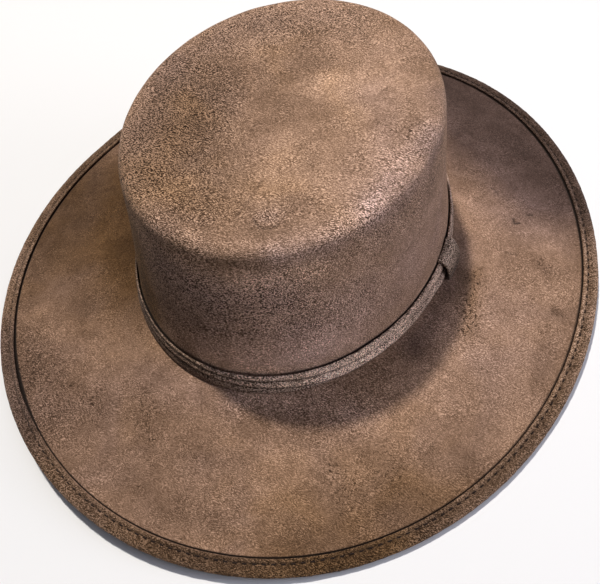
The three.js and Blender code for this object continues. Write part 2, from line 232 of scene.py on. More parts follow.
def add_waves(piece, size, depth):
    """Moves the surface in and out in soft waves, as in hide and felt that have been handled."""
    clouds = bpy.data.textures.new(piece.name + "_waves", "CLOUDS")
    clouds.noise_scale = size
    waves = piece.modifiers.new("waves", "DISPLACE")
    waves.texture = clouds
    waves.texture_coords = "LOCAL"
    waves.strength = depth
    bpy.ops.object.modifier_apply(modifier=waves.name)


def thicken(piece, thickness, offset=-1):
    """Gives the sheet its thickness, inwards unless the offset says otherwise."""
    wall = piece.modifiers.new("wall", "SOLIDIFY")
    wall.thickness = thickness
    wall.offset = offset
    wall.use_even_offset = True
    bpy.ops.object.modifier_apply(modifier=wall.name)


def read_places(piece):
    """The places of a piece's vertices in millimetres, one row each."""
    found = np.empty(len(piece.data.vertices) * 3)
    piece.data.vertices.foreach_get("co", found)
    return found.reshape(-1, 3) / MM


def distance_to(points, path):
    """How far each point lies from a line of straight stretches."""
    nearest = np.full(len(points), np.inf)
    for start, end in zip(np.array(path, float), np.array(path[1:], float)):
        along = end - start
        share = np.clip((points - start) @ along / (along @ along), 0, 1)
        nearest = np.minimum(nearest, np.linalg.norm(points - start - share[:, None] * along, axis=1))
    return nearest


def paint(piece, name, values):
    """Keeps one value for each vertex, for the piece's material to read."""
    layer = piece.data.attributes.get(name) or piece.data.attributes.new(name, "FLOAT", "POINT")
    layer.data.foreach_set("value", np.asarray(values, np.float32))


def darken(piece, painted_shade):
    """Keeps the darker of new painted shade and the painted shade that the piece already has."""
    found = np.empty(len(painted_shade), np.float32)
    piece.data.attributes["painted_shade"].data.foreach_get("value", found)
    paint(piece, "painted_shade", np.maximum(found, painted_shade))


def press_creases(piece, creases):
    """Cuts the faces by each crease finer, presses the crease in, and keeps the painted shade in it."""
    bpy.ops.object.mode_set(mode="EDIT")
    for crease in creases:
        select_places(piece, lambda found: distance_to(found, crease["path"]) < 2 * crease["width"])
        bpy.ops.mesh.subdivide(number_cuts=2)
    bpy.ops.object.mode_set(mode="OBJECT")
    points = read_places(piece)
    normals = np.empty(points.size)
    piece.data.vertices.foreach_get("normal", normals)
    depth = np.zeros(len(points))
    painted_shade = np.zeros(len(points))
    for crease in creases:
        share = np.exp(-((2 * distance_to(points, crease["path"]) / crease["width"]) ** 2))
        depth = np.maximum(depth, share * crease["depth"])
        painted_shade = np.maximum(painted_shade, share * crease["painted_shade"])
    moved = points - normals.reshape(-1, 3) * depth[:, None]
    piece.data.vertices.foreach_set("co", (moved * MM).ravel())
    piece.data.update()
    paint(piece, "painted_shade", painted_shade)


def paint_nap_and_light(piece, streaks, tone=0.0, warm=0.0, coarse=0.0):
    """Keeps how pale, warm, coarse and ruffled the surface looks, from its nap and from painted light and
    shade: what it is all over, and the streaks added.
    """
    points = read_places(piece)
    for name, value in (("tone", tone), ("warm", warm), ("coarse", coarse), ("ruffled", 0.0)):
        value = value + np.zeros(len(points))
        for mark in streaks:
            if name in mark:
                value += mark[name] * np.exp(-((distance_to(points, mark["path"]) / mark["reach"]) ** 2))
        paint(piece, name, value)


def new_material(name):
    """A new material, and the node that shades its surface."""
    material = bpy.data.materials.new(name)
    material.use_nodes = True
    return material, material.node_tree.nodes["Principled BSDF"]


def suede(name, colour, clouds=1.0, grain=1.0, shift=0.0):
    """Brushed suede: clouds of nap lying this way and that, tufts of fibre, and a grain, toned by what is
    kept on the piece, nap and painted light and shade.
    """
    material, shader = new_material(name)
    nodes, links = material.node_tree.nodes, material.node_tree.links
    shader.inputs["Roughness"].default_value = 0.95
    shader.inputs["Specular IOR Level"].default_value = 0.1
    shader.inputs["Sheen Weight"].default_value = 0.05
    shader.inputs["Sheen Roughness"].default_value = 0.45
    shader.inputs["Sheen Tint"].default_value = (1.0, 0.88, 0.82, 1)

    def add(kind, **settings):
        node = nodes.new(kind)
        for key, value in settings.items():
            setattr(node, key, value)
        return node

    def put(value, socket):
        if isinstance(value, bpy.types.NodeSocket):
            links.new(value, socket)
        else:
            socket.default_value = value

    def plug(node, **values):
        for key, value in values.items():
            put(value, node.inputs[key.replace("_", " ")])

    def maths(operation, first, second):
        node = add("ShaderNodeMath", operation=operation)
        put(first, node.inputs[0])
        put(second, node.inputs[1])
        return node.outputs["Value"]

    def total(*terms):
        summed = terms[0]
        for term in terms[1:]:
            summed = maths("ADD", summed, term)
        return summed

    def scaled(value, low, high, to_low, to_high):
        node = add("ShaderNodeMapRange", clamp=True)
        plug(node, Value=value, From_Min=low, From_Max=high, To_Min=to_low, To_Max=to_high)
        return node.outputs["Result"]

    def noise(vector, scale, detail=2.0, roughness=0.5, distortion=0.0, output="Fac"):
        node = add("ShaderNodeTexNoise")
        plug(node, Vector=vector, Scale=scale, Detail=detail, Roughness=roughness, Distortion=distortion)
        return node.outputs[output]

    def mixed(share, first, second, mode="MIX"):
        node = add("ShaderNodeMix", data_type="RGBA", blend_type=mode)
        put(share, node.inputs[0])
        put(first, node.inputs[6])
        put(second, node.inputs[7])
        return node.outputs[2]

    def attribute(attribute_name):
        return add("ShaderNodeAttribute", attribute_name=attribute_name).outputs["Fac"]

    moved = add("ShaderNodeMapping")
    plug(moved, Vector=add("ShaderNodeTexCoord").outputs["Object"], Location=(shift, shift, 0))
    place = moved.outputs["Vector"]
    broad = noise(place, 24, 2, 0.5, 0.4)
    cloud = noise(place, 70, 4, 0.6, 0.8)
    patch = noise(place, 200, 3, 0.6, 0.5)
    # The nap turns with the clouds
    swirl = add("ShaderNodeVectorMath", operation="MULTIPLY_ADD")
    links.new(noise(place, 110, 1, output="Color"), swirl.inputs[0])
    swirl.inputs[1].default_value = (0.006, 0.006, 0.006)
    links.new(place, swirl.inputs[2])

    def strands(scale, turn):
        """Short pale fibres that lie one way: from 0 between them to 1 on them."""
        lay = add("ShaderNodeMapping")
        plug(lay, Vector=swirl.outputs["Vector"], Scale=scale, Rotation=turn)
        return scaled(noise(lay.outputs["Vector"], 1, 0, 0.5, 0.2), 0.36, 0.68, 0, 1)

    side = scaled(noise(place, 130, 1), 0.42, 0.58, 0, 1)
    lays = add("ShaderNodeMix")
    one_lay = strands((950, 2300, 2300), (0, 0.2, 0.5))
    other_lay = strands((1000, 2400, 2400), (0, 1.1, 2.0))
    plug(lays, Factor=side, A=one_lay, B=other_lay)
    strand = lays.outputs["Result"]
    tuft = noise(swirl.outputs["Vector"], 640, 2, 0.6, 0.8)
    fine = noise(place, 2200, 0)
    rough = total(
        scaled(noise(place, 40, 2, 0.5), 0.38, 0.62, 0.5, 0.8),
        scaled(attribute("coarse"), 0, 2, 0, 3.2),
    )
    nap = total(
        scaled(strand, 0, 1, -0.46 * grain, 0.56 * grain),
        scaled(fine, 0.32, 0.75, -0.3 * grain, 0.46 * grain),
    )
    even = maths("MULTIPLY", nap, rough)
    # Where the nap is ruffled, dark gaps open in it
    patches = scaled(noise(place, 55, 3, 0.6, 1.5), 0.57, 0.66, 0, 0.6)
    ruffled = total(patches, attribute("ruffled"))
    gaps = maths("MULTIPLY", scaled(tuft, 0.34, 0.46, -0.6, 0.03), ruffled)
    fibres = total(even, gaps)
    depth = total(
        scaled(broad, 0.3, 0.7, 0.5 - 0.1 * clouds, 0.5 + 0.1 * clouds),
        scaled(cloud, 0.3, 0.7, -0.08 * clouds, 0.08 * clouds),
        scaled(cloud, 0.47, 0.52, -0.045 * clouds, 0.045 * clouds),
        scaled(patch, 0.3, 0.7, -0.04 * clouds, 0.04 * clouds),
        fibres,
    )
    # Deep in the nap it is dark and warm, at the tips pale and greyer
    ramp = add("ShaderNodeValToRGB")
    stops = ramp.color_ramp.elements
    grey = sum(colour) / 3
    for row in SUEDE_DEPTHS:
        position = row["position"]
        stop = stops[position] if position in (0, 1) else stops.new(position)
        stop.color = (*(row["brightness"] * (part + (grey - part) * row["fade"]) for part in colour), 1)
    links.new(scaled(depth, -0.4, 1.4, 0, 1), ramp.inputs["Fac"])
    # Golden where the hue is high and mauve where it is low: it differs at random, and the warm marks shift
    # it, among them a cooler colour painted into shade
    hue = total(scaled(noise(place, 28, 1, 0.5, 0.8), 0, 1, 0.25, 0.75), attribute("warm"))
    golden = mixed(scaled(hue, 0.52, 0.9, 0, 1), ramp.outputs["Color"], (1.06, 0.97, 0.68, 1), "MULTIPLY")
    mauve = mixed(scaled(hue, 0.48, -0.28, 0, 1), golden, (0.88, 0.95, 1.25, 1), "MULTIPLY")
    # One step of tone is twice as pale, and darker tone, painted shade among it, is a little redder
    lift = add("ShaderNodeCombineColor")
    for channel, step in (("Red", 1.0), ("Green", 1.05), ("Blue", 1.1)):
        links.new(maths("POWER", 2**step, attribute("tone")), lift.inputs[channel])
    toned_nap_and_light = mixed(1, mauve, lift.outputs["Color"], "MULTIPLY")
    # Painted shade: near black where the piece is marked with it
    with_painted_shade = mixed(attribute("painted_shade"), toned_nap_and_light, (0.012, 0.008, 0.006, 1))
    links.new(with_painted_shade, shader.inputs["Base Color"])
    bump = add("ShaderNodeBump")
    plug(bump, Strength=0.5, Distance=0.6 * MM, Height=total(fibres, scaled(patch, 0.3, 0.7, -0.2, 0.2)))
    links.new(bump.outputs["Normal"], shader.inputs["Normal"])
    return material


def oval_in(low, high, height):
    """The oval that just fits into a box, at a height."""
    return {
        "x": (low.x + high.x) / 2,
        "y": (low.y + high.y) / 2,
        "z": height,
        "half_width": (high.x - low.x) / 2,
        "half_length": (high.y - low.y) / 2,
    }


crown_low, crown_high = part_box("crown")
CROWN_FOOT = oval_in(crown_low, crown_high, crown_low.z)
CROWN_CORNER["z"] = crown_high.z


def crown_oval(height):
    """The outside of the crown's wall at a height above the table."""
    share = (height - CROWN_FOOT["z"]) / (CROWN_CORNER["z"] - CROWN_FOOT["z"])
    waist = CROWN_WAIST * math.sin(math.pi * min(max(share, 0), 1) ** 0.8)
    return drawn_in(between(CROWN_FOOT, CROWN_CORNER, share), waist)


wall_top = CROWN_CORNER["z"] - CROWN_EDGE * 1.3
crown_rings = []
for row in range(CROWN_WALL_ROWS + 1):
    crown_rings.append(crown_oval(CROWN_FOOT["z"] + (wall_top - CROWN_FOOT["z"]) * row / CROWN_WALL_ROWS))
    if row == 1:
        crown_rings.extend(crown_oval(height * MM) for height in CROWN_BAND_ROWS)
crown_rings.append(CROWN_CORNER)
crown_rings.append(drawn_in(CROWN_CORNER, CROWN_FLAT_INSET))
crown = start_ring("suede_crown", CROWN_AROUND, crown_rings[0])
for before, after in zip(crown_rings, crown_rings[1:]):
    draw_out(before, after)
bpy.ops.mesh.fill_grid(span=CROWN_AROUND // 4)


def is_on_corner(found):
    across = (found[:, 0] * MM - CROWN_CORNER["x"]) / CROWN_CORNER["half_width"]
    along = (found[:, 1] * MM - CROWN_CORNER["y"]) / CROWN_CORNER["half_length"]
    return (found[:, 2] * MM > CROWN_CORNER["z"] - 0.1 * MM) & (np.hypot(across, along) > 0.98)


select_places(crown, is_on_corner)
bpy.ops.mesh.bevel(offset=CROWN_EDGE, segments=CROWN_EDGE_FACES, profile=0.62, affect="EDGES")
face_outwards()
smooth(crown, 1)
points = read_places(crown)
across = (points[:, 0] * MM - CROWN_CORNER["x"]) / (CROWN_CORNER["half_width"] - CROWN_EDGE)
along = (points[:, 1] * MM - CROWN_CORNER["y"]) / (CROWN_CORNER["half_length"] - CROWN_EDGE)
is_top = points[:, 2] * MM > crown_high.z - CROWN_WALL
points[:, 2] -= CROWN_DISH / MM * is_top * np.clip(1 - across**2 - along**2, 0, 1)
crown.data.vertices.foreach_set("co", (points * MM).ravel())
add_waves(crown, **CROWN_WAVES)
thicken(crown, CROWN_WALL)
smooth(crown, 1)
press_creases(crown, CROWN_CREASES)
paint_nap_and_light(crown, CROWN_NAP_AND_LIGHT)
# Painted shade on the crown's foot behind the band, less in front
points = read_places(crown)
in_front = np.exp(-((points[:, 0] / BAND_SHADE["front_half_width"]) ** 2)) * (points[:, 1] < 0)
behind_band = np.clip((BAND_SHADE["up_to"] - points[:, 2]) / BAND_SHADE["fades_over"], 0, 1)
darken(crown, behind_band * (BAND_SHADE["painted_shade"] - BAND_SHADE["less_in_front"] * in_front))
crown.data.materials.append(suede("crown_suede", SUEDE_TAN, clouds=0.7))
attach(crown, "root")
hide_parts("crown")

# Brim. A second hide on the same felt, cut as one wide oval ring. Its inner margin is turned up inside the
# crown, and it falls away to an edge that stands higher at two corners than at the other two, which lie
# on the table.
BRIM_AROUND = 128  # faces round the brim before it is smoothed
BRIM_THICKNESS = 2.0 * MM
COLLAR_HEIGHT = 8.0 * MM  # of the margin that is turned up inside the crown
COLLAR_ROWS = (0.5, 0.9, 1.0)  # shares of the way down from its top edge
PIECE_GAP = 0.3 * MM
HEAD_LINE_HEIGHT = crown_low.z - PIECE_GAP  # of the brim's top face, where the crown stands on it
BRIM_DROP = 15.4 * MM  # from the head line to the edge
BRIM_TWIST = 5.3 * MM  # up at two corners and down at the other two
BRIM_FRONT_RISE = 1.8 * MM  # up in front and down at the back
BRIM_SIDE_RISE = 0.4 * MM  # up at both sides and down at front and back
BINDING_WIDTH = 8.0 * MM
BINDING_THICKNESS = 1.0 * MM
BRIM_LIP = BINDING_WIDTH + 0.8 * MM  # from the outline to where the rows of the margin start
BINDING_LIFT = {"angle": 227, "spread": 8, "height": 1.4 * MM}  # where the binding has come away
BRIM_BROWN = (0.232, 0.139, 0.089)
BRIM_WAVES = {"size": 0.04, "depth": 0.8 * MM}
EDGE_REST_HEIGHT = BRIM_THICKNESS + PIECE_GAP + BINDING_THICKNESS
# Painted shade under the binding's inner edge, a dark line along it: how far in from the outline it lies, its
# half width, and how much wider it is near some angles in degrees, all in millimetres
GAP_LINE = {"into": 8.4, "half_width": 0.28, "painted_shade": 0.98}
GAP_WIDER = [
    {"angle": 5, "spread": 58, "by": 0.45},
    {"angle": 203, "spread": 22, "by": 0.4},
    {"angle": BINDING_LIFT["angle"], "spread": BINDING_LIFT["spread"], "by": 0.6},
]
# From the head line out to the lip: the share of the way out, and the share of the drop reached there
BRIM_ROWS = [
    {"out": 0.04, "drop": 0.035},
    {"out": 0.12, "drop": 0.12},
    {"out": 0.25, "drop": 0.26},
    {"out": 0.38, "drop": 0.395},
    {"out": 0.5, "drop": 0.53},
    {"out": 0.64, "drop": 0.68},
    {"out": 0.78, "drop": 0.83},
    {"out": 0.88, "drop": 0.925},
    {"out": 0.95, "drop": 0.98},
]
# The margin, by its distance in from the outline in millimetres, and how deep the binding has sunk into it
BRIM_MARGIN = [
    {"into": 9.2, "sunk": 0.0},
    {"into": 8.9, "sunk": 0.1},
    {"into": 8.6, "sunk": 0.7},
    {"into": 8.2, "sunk": 0.85},
    {"into": 7.7, "sunk": 0.3},
    {"into": 7.0, "sunk": 0.0},
    {"into": 4.0, "sunk": 0.0},
    {"into": 1.3, "sunk": 0.0},
]
# Creases in the brim in the same way, with painted shade in them
BRIM_CREASES = [
    {"path": [(117.5, 42.5, 14.9), (119, 39.5, 14.8), (121.5, 41, 14.4)],
     "width": 1.3, "depth": 0.4, "painted_shade": 0.9},
    {"path": [(124.6, 48.6, 13.4), (127.5, 49.8, 13.1)], "width": 1.3, "depth": 0.35, "painted_shade": 0.8},
    {"path": [(100, 62, 16.9), (104, 60.5, 16.7), (107, 57, 16.5)],
     "width": 1.0, "depth": 0.25, "painted_shade": 0.4},
    {"path": [(110, 20, 15.9), (118, 17, 15.0), (124, 18, 14.2)],
     "width": 1.1, "depth": 0.25, "painted_shade": 0.4},
]
# Patches of nap, and painted light and shade: painted shade over the wearer's right of the brim and along the
# back, darkest at the left back, painted shade in the crown's shadow by the crown at the wearer's left and
# along its edge in front, painted light inside that shadow beside the band, and a cooler colour painted into
# the shade
BRIM_NAP_AND_LIGHT = [
    nap_and_light_streak((-155, -5, 7), (-95, -5, 17), (-92, 60, 17), reach=52, tone=-1.5, warm=0.2),
    nap_and_light_streak((-88, -38, 18), (-66, -70, 18), reach=16, tone=-0.9, warm=0.15),
    nap_and_light_streak((-125, 16, 12), (-98, -34, 18), (-86, -54, 19), reach=17, tone=-0.1, warm=0.25),
    nap_and_light_streak((-44, -114, 18), (-15, -112, 20), reach=14, tone=0.1, warm=-0.3),
    nap_and_light_streak((-118, -80, 13), (-98, -108, 14), reach=18, tone=0.14),
    nap_and_light_streak((-88, -130, 13), (-50, -148, 13), (-10, -150, 13), reach=28, tone=-0.08, warm=-0.15),
    nap_and_light_streak((73, -136, 8), (92, -112, 9), reach=26, warm=0.15),
    nap_and_light_streak((-112, -56, 13), (-104, -76, 14), reach=13, tone=-0.4),
    nap_and_light_streak((-150, -50, 6), (-138, -88, 6), reach=16, tone=-0.32),
    nap_and_light_streak((-124, -106, 9), (-106, -128, 9), reach=9, tone=-0.35, ruffled=0.8),
    nap_and_light_streak((-94, -118, 12), (-84, -128, 11), reach=8, tone=-0.15, ruffled=1.1),
    nap_and_light_streak((-64, -128, 12), (-58, -131, 12), reach=7, tone=-0.4, ruffled=1.3),
    nap_and_light_streak((-40, -121, 14), (-30, -132, 12), reach=7, tone=-0.35, warm=0.1, ruffled=1.2),
    nap_and_light_streak((-60, -112, 15), (-35, -112, 16), reach=8, tone=-0.15),
    nap_and_light_streak((-5, -162, 9), (34, -168, 9), (52, -160, 9), reach=10, tone=-0.3),
    nap_and_light_streak((22, -150, 11), (36, -130, 13), reach=12, tone=0.3),
    nap_and_light_streak((16, -137, 13), (2, -141, 12), reach=6, tone=-0.25, warm=-0.15),
    nap_and_light_streak((58, -168, 9), (88, -148, 9), (110, -125, 9), (122, -106, 10), reach=12, tone=-0.45, warm=0.1),
    nap_and_light_streak((84, -114, 12), (94, -124, 10), reach=9, tone=-0.35, ruffled=1.1),
    nap_and_light_streak((64, -128, 12), (72, -136, 11), reach=8, tone=-0.25, ruffled=1.2),
    nap_and_light_streak((106, -62, 14), (126, -20, 13), reach=22, tone=0.33, warm=-0.15),
    nap_and_light_streak((118, -19, 13), (122, -21, 13), reach=7, tone=-0.3),
    nap_and_light_streak((94, 46, 17), (108, 14, 15), reach=12, tone=0.3),
    nap_and_light_streak((108, 45, 14), (135, 32, 12), reach=15, tone=0.2),
    nap_and_light_streak((140, 0, 10), (150, 5, 9), reach=10, tone=0.3),
    nap_and_light_streak((148, -9, 9), (153, -12, 9), reach=2.6, tone=-0.9, ruffled=1.5),
    nap_and_light_streak((136, 18, 11), (140, 15, 11), reach=4, tone=-0.4, ruffled=1.3),
    nap_and_light_streak((104, -4, 16), (106, -38, 15), reach=5, tone=-0.2, warm=0.2, ruffled=2.2),
    nap_and_light_streak((92, 16, 18), (91, -20, 18), (84, -56, 18), reach=7, tone=-0.8, warm=-0.3),
    nap_and_light_streak((50, 165, 8), (100, 120, 12), (132, 86, 12), reach=38, tone=-1.6, warm=-1.4),
    nap_and_light_streak((72, 98, 17), (80, 80, 17), reach=12, tone=-0.7, warm=-0.1),
    nap_and_light_streak((142, 92, 11), (152, 70, 10), reach=12, tone=-0.3),
    nap_and_light_streak((0, 170, 8), (-80, 140, 8), reach=60, tone=-0.6),
    nap_and_light_streak((-20, -140, 12), (40, -140, 12), reach=25, warm=0.15),
    nap_and_light_streak((98, -5, 19), (102, -10, 18), reach=6, tone=-0.35),
    nap_and_light_streak((-10, -113, 19), (14, -120, 16), reach=5, tone=-0.3),
    nap_and_light_streak((8, -110, 19), (60, -98, 16), reach=11, tone=0.22, warm=-0.25, coarse=0.3),
    nap_and_light_streak((12, -106, 20), (34, -102, 20), reach=5, tone=0.4),
    nap_and_light_streak((-24, -110, 20), (-17, -110, 20), reach=6, tone=0.35),
    nap_and_light_streak((66, -128, 10), (72, -134, 8), reach=8, tone=0.15),
    nap_and_light_streak((24, -114, 18), (45, -109, 17), (66, -111, 14), reach=6, tone=-0.2),
    nap_and_light_streak((118, -85, 7), (136, -92, 4), reach=8, tone=0.15),
    nap_and_light_streak((112, 112, 11), (122, 100, 11), reach=10, tone=-0.25),
    nap_and_light_streak((-26, -164, 10), (-18, -165, 10), reach=9, tone=-0.3),
    nap_and_light_streak((98, -134, 4), (106, -130, 4), reach=7, tone=-0.25),
    nap_and_light_streak((-34, -131, 16), (-30, -129, 16), reach=6, tone=-0.2),
    nap_and_light_streak((-134, -50, 13), (-124, -62, 13), reach=11, tone=-0.25),
    nap_and_light_streak((148, 40, 9), (146, 26, 9), reach=8, tone=0.12),
    nap_and_light_streak((106, -40, 15), (112, -44, 14), reach=6, tone=-0.2),
    nap_and_light_streak((60, -88, 16), (84, -58, 17), reach=8, tone=-0.35),
    nap_and_light_streak((60, -160, 5), (70, -156, 5), reach=9, tone=-0.25),
    nap_and_light_streak((-72, -134, 13), (-68, -132, 13), reach=9, tone=0.15),
    nap_and_light_streak((-112, -112, 13), (-100, -134, 13), (-84, -146, 12), reach=17, tone=-0.65, coarse=0.4),
    nap_and_light_streak((-90, -84, 18), (-84, -120, 15), reach=12, tone=-0.2),
    nap_and_light_streak((88, 46, 20), (94, 20, 20), (98, 4, 20), reach=7, tone=0.35),
    nap_and_light_streak((78, -96, 14), (100, -84, 12), reach=11, tone=0.35),
    nap_and_light_streak((132, 40, 12), (140, 34, 12), reach=9, tone=0.3),
    nap_and_light_streak((-28, -146, 14), (-24, -146, 14), reach=8, tone=-0.2),
    nap_and_light_streak((16, -150, 11), (20, -150, 11), reach=7, tone=-0.35),
    nap_and_light_streak((86, -127, 7), (94, -141, 5), reach=8, tone=-0.4),
    nap_and_light_streak((60, -100, 16), (98, -30, 18), reach=14, coarse=0.15),
]
OUTLINE = oval_in(*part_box("brim_binding"), HEAD_LINE_HEIGHT)
HEAD_LINE = {**CROWN_FOOT, "z": HEAD_LINE_HEIGHT}


def edge_height(angle):
    """Height of the brim's top face at its outline. It can't sink below the table."""
    twist = BRIM_TWIST * math.sin(2 * angle) + BRIM_SIDE_RISE * math.cos(2 * angle)
    return max(HEAD_LINE_HEIGHT - BRIM_DROP + twist - BRIM_FRONT_RISE * math.sin(angle), EDGE_REST_HEIGHT)


def shape_ring(piece, ring, height, stands_out=None):
    """Moves each selected vertex of an oval to its angle's height, and out by its angle's distance."""
    mesh = bmesh.from_edit_mesh(piece.data)
    chosen = [vertex for vertex in mesh.verts if vertex.select]
    step = 2 * math.pi / len(chosen)
    for vertex in chosen:
        across = (vertex.co.x - ring["x"]) / ring["half_width"]
        along = (vertex.co.y - ring["y"]) / ring["half_length"]
        angle = round(math.atan2(along, across) / step) * step
        out = stands_out(angle) if stands_out else 0
        vertex.co.x = ring["x"] + (ring["half_width"] + out) * math.cos(angle)
        vertex.co.y = ring["y"] + (ring["half_length"] + out) * math.sin(angle)
        vertex.co.z = height(angle)
    bmesh.update_edit_mesh(piece.data)


def draw_shaped(piece, before, after, height, stands_out=None):
    """Extrudes the selected oval to the next one, gives that its shape by angle, and returns it."""
    draw_out(before, after)
    shape_ring(piece, after, height, stands_out)
    return after


def brim_height(drop):
    """Height of the brim's top face by angle, where it has come down by that share of its drop."""
    return lambda angle: HEAD_LINE_HEIGHT + (edge_height(angle) - HEAD_LINE_HEIGHT) * drop


collar_top = drawn_in(crown_oval(HEAD_LINE_HEIGHT + COLLAR_HEIGHT), CROWN_WALL + PIECE_GAP)
collar_foot = drawn_in(HEAD_LINE, CROWN_WALL + PIECE_GAP)
brim = start_ring("suede_brim", BRIM_AROUND, collar_top)
ring = collar_top
for share in COLLAR_ROWS:
    oval = between(collar_top, collar_foot, share)
    draw_out(ring, oval)
    ring = oval
lip = drawn_in(OUTLINE, BRIM_LIP)
for row in BRIM_ROWS:
    ring = draw_shaped(brim, ring, between(HEAD_LINE, lip, row["out"]), brim_height(row["drop"]))
for row in BRIM_MARGIN:
    oval = drawn_in(OUTLINE, row["into"] * MM)
    ring = draw_shaped(brim, ring, oval, lambda angle: edge_height(angle) - row["sunk"] * MM)
face_outwards()
smooth(brim, 1)
add_waves(brim, **BRIM_WAVES)
thicken(brim, BRIM_THICKNESS)
smooth(brim, 1)
press_creases(brim, BRIM_CREASES)
paint_nap_and_light(brim, BRIM_NAP_AND_LIGHT)


def distance_into(piece):
    """How far in from the hat's outline each vertex lies, in millimetres."""
    points = read_places(piece) * MM
    share = np.hypot(points[:, 0] / OUTLINE["half_width"], points[:, 1] / OUTLINE["half_length"])
    return (1 - share) * (OUTLINE["half_width"] + OUTLINE["half_length"]) / 2 / MM


def near_angle(piece, middle, spread):
    """How near each vertex is to an angle in degrees round the outline: 1 there, and falling to 0."""
    points = read_places(piece) * MM
    across, along = points[:, 0] / OUTLINE["half_width"], points[:, 1] / OUTLINE["half_length"]
    round_hat = np.degrees(np.arctan2(along, across))
    return np.exp(-((((round_hat - middle + 180) % 360 - 180) / spread) ** 2))


gap_width = GAP_LINE["half_width"]
for part in GAP_WIDER:
    gap_width = gap_width + part["by"] * near_angle(brim, part["angle"], part["spread"])
# Painted shade under the binding's edge: over 1 in the middle, so that the line is evenly dark over most of
# its width
in_gap = 1.6 * np.exp(-(((distance_into(brim) - GAP_LINE["into"]) / gap_width) ** 2))
darken(brim, np.clip(in_gap, 0, GAP_LINE["painted_shade"]))
brim.data.materials.append(suede("brim_suede", BRIM_BROWN, clouds=0.8, grain=0.8, shift=3.0))
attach(brim, "root")
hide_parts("brim")

# Binding. A strip of the same suede folded over the brim's edge and stitched through. It is paler at the
# fold, it is drawn down along the stitches, with painted shade there, and at the right front a short length
# has come away from the brim.
STITCHES = 238
STITCH_ROW = 5.7  # in from the outline, in millimetres
BINDING_AROUND = 2 * STITCHES  # one face to each stitch, one to each space between two
BINDING_PUCKER = 0.3 * MM
BINDING_BROWN = (0.137, 0.08, 0.045)
BINDING_WAVES = {"size": 0.003, "depth": 0.35 * MM}
# Patches of nap, and painted light and shade: painted shade along the front and at the wearer's left back,
# with a cooler colour painted into it, and paler at the wearer's right front and at the left
BINDING_NAP_AND_LIGHT = [
    nap_and_light_streak((10, -187, 7), (60, -176, 7), (95, -156, 8), reach=34, tone=-0.6, warm=0.1),
    nap_and_light_streak((56, -176, 7), (92, -158, 8), reach=22, warm=0.3),
    nap_and_light_streak((130, -118, 8), (152, -85, 9), reach=25, tone=-0.1),
    nap_and_light_streak((166, -25, 9), (164, 34, 9), reach=24, tone=0.6),
    nap_and_light_streak((155, 66, 10), (145, 95, 12), (110, 140, 13), (60, 175, 12), reach=24, tone=-1.0, warm=-0.6),
    nap_and_light_streak((-160, -60, 5), (-150, -88, 5), (-118, -132, 5), reach=22, tone=0.5),
    nap_and_light_streak((-132, -108, 12), (-112, -136, 12), (-92, -152, 12), reach=12, tone=-0.5, warm=-0.4),
    nap_and_light_streak((72, -164, 6), (84, -157, 6), reach=9, tone=-0.25),
]
# Section of the strip in millimetres: how far in from the outline, how far up from the brim's top face
BINDING_SECTION = [
    {"into": 8.0, "up": 0.3},
    {"into": 8.1, "up": 0.75},
    {"into": 7.8, "up": 1.2},
    {"into": 7.1, "up": 1.45},
    {"into": 6.4, "up": 1.3},
    {"into": 5.95, "up": 0.95},
    {"into": 5.45, "up": 0.95},
    {"into": 4.9, "up": 1.3},
    {"into": 3.6, "up": 1.45},
    {"into": 2.0, "up": 1.3},
    {"into": 0.8, "up": 0.7},
    {"into": 0.2, "up": 0.0},
    {"into": 0.1, "up": -0.8},
    {"into": 0.8, "up": -1.9},
    {"into": 2.0, "up": -2.8},
    {"into": 3.2, "up": -3.25},
    {"into": 4.5, "up": -3.3},
    {"into": 5.3, "up": -3.2},
    {"into": 5.7, "up": -2.95},
    {"into": 6.1, "up": -3.2},
    {"into": 7.2, "up": -3.25},
    {"into": 8.0, "up": -2.9},
    {"into": 8.0, "up": -2.4},
    {"into": 4.0, "up": -2.3},
    {"into": 2.2, "up": -2.0},
    {"into": 1.3, "up": -1.0},
    {"into": 1.5, "up": 0.2},
    {"into": 4.0, "up": 0.3},
]


def binding_height(into, up):
    """Height of a row of the strip by angle: drawn down between stitches, lifted where it is loose."""
    by_stitches = math.exp(-(((into - STITCH_ROW) / 1.1) ** 2)) * (up > 0.5)
    by_edge = min(max((into - 4.5) / 3.5, 0), 1) * (up > 0)

    def height(angle):
        pucker = BINDING_PUCKER * by_stitches * (0.5 - 0.5 * math.cos(STITCHES * angle))
        off = (math.degrees(angle) % 360 - BINDING_LIFT["angle"]) / BINDING_LIFT["spread"]
        lift = BINDING_LIFT["height"] * by_edge * math.exp(-(off**2))
        return edge_height(angle) + up * MM - pucker + lift

    return height


def close_tube():
    """Joins the first and the last ring of a strip, so that its section is closed all round."""
    bpy.ops.mesh.select_all(action="DESELECT")
    bpy.ops.mesh.select_non_manifold()
    bpy.ops.mesh.bridge_edge_loops()
    face_outwards()


ring = drawn_in(OUTLINE, BINDING_SECTION[0]["into"] * MM)
binding = start_ring("suede_binding", BINDING_AROUND, ring)
shape_ring(binding, ring, binding_height(**BINDING_SECTION[0]))
for point in BINDING_SECTION[1:]:
    ring = draw_shaped(binding, ring, drawn_in(OUTLINE, point["into"] * MM), binding_height(**point))
close_tube()
smooth(binding, 1)
add_waves(binding, **BINDING_WAVES)
points = read_places(binding)
points[:, 2] = np.maximum(points[:, 2], 0)  # the table presses the lowest stretches flat
binding.data.vertices.foreach_set("co", (points * MM).ravel())
into = distance_into(binding)
